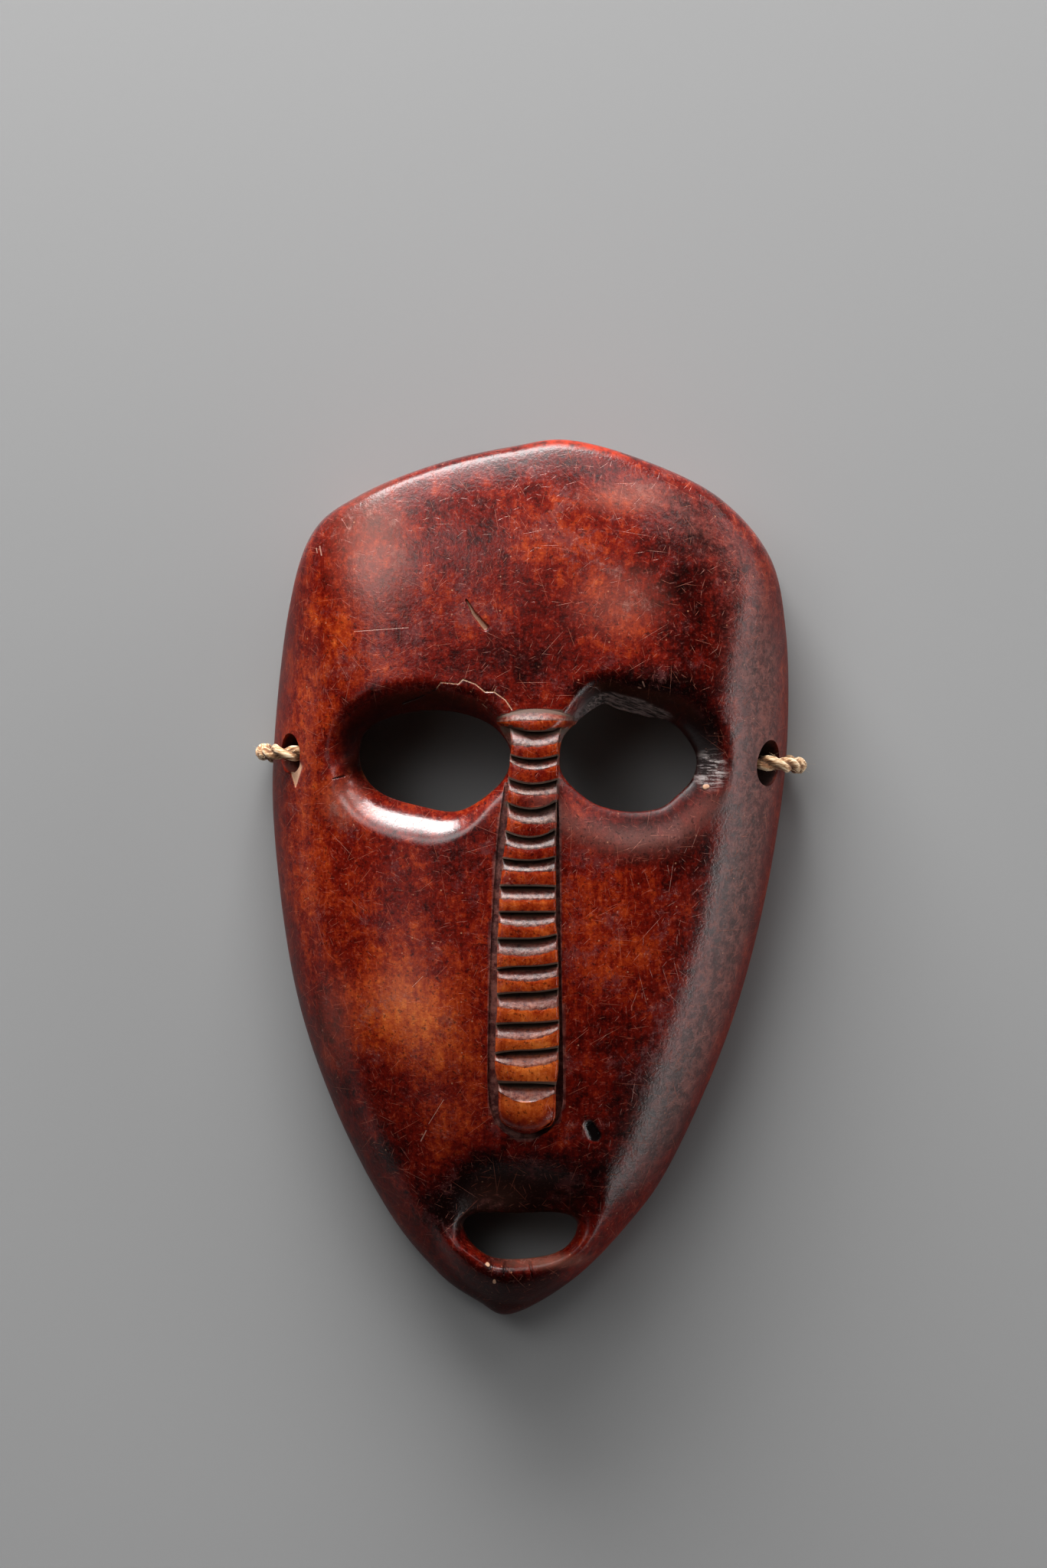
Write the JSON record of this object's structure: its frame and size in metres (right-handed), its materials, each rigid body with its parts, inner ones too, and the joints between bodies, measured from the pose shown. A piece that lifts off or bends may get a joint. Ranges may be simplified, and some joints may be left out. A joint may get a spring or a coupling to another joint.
{
  "type": "miniature mask",
  "caption": "Small carved mask that lies on its flat back rim, with open eyes and mouth, a notched nose ridge, a hollow back and a cord tie in each side.",
  "frame": {"origin": "centre of the flat back rim's footprint, on the surface the mask lies on", "axes": "+X to the viewer's right, +Y from the chin to the crown, +Z out of the face"},
  "size_m": [0.063, 0.0998, 0.0223],
  "materials": {
    "carved_patina": "dense, fine-grained carved material under a handled and polished red-brown patina, mottled orange and dark plum, with hairline scratches and a few pale chips",
    "cord": "dry twisted plant-fibre cord, straw to brown"
  },
  "bodies": {
    "root": {"mask": "carved_patina", "left_cord_tie": "cord", "right_cord_tie": "cord"}
  },
  "joints": []
}
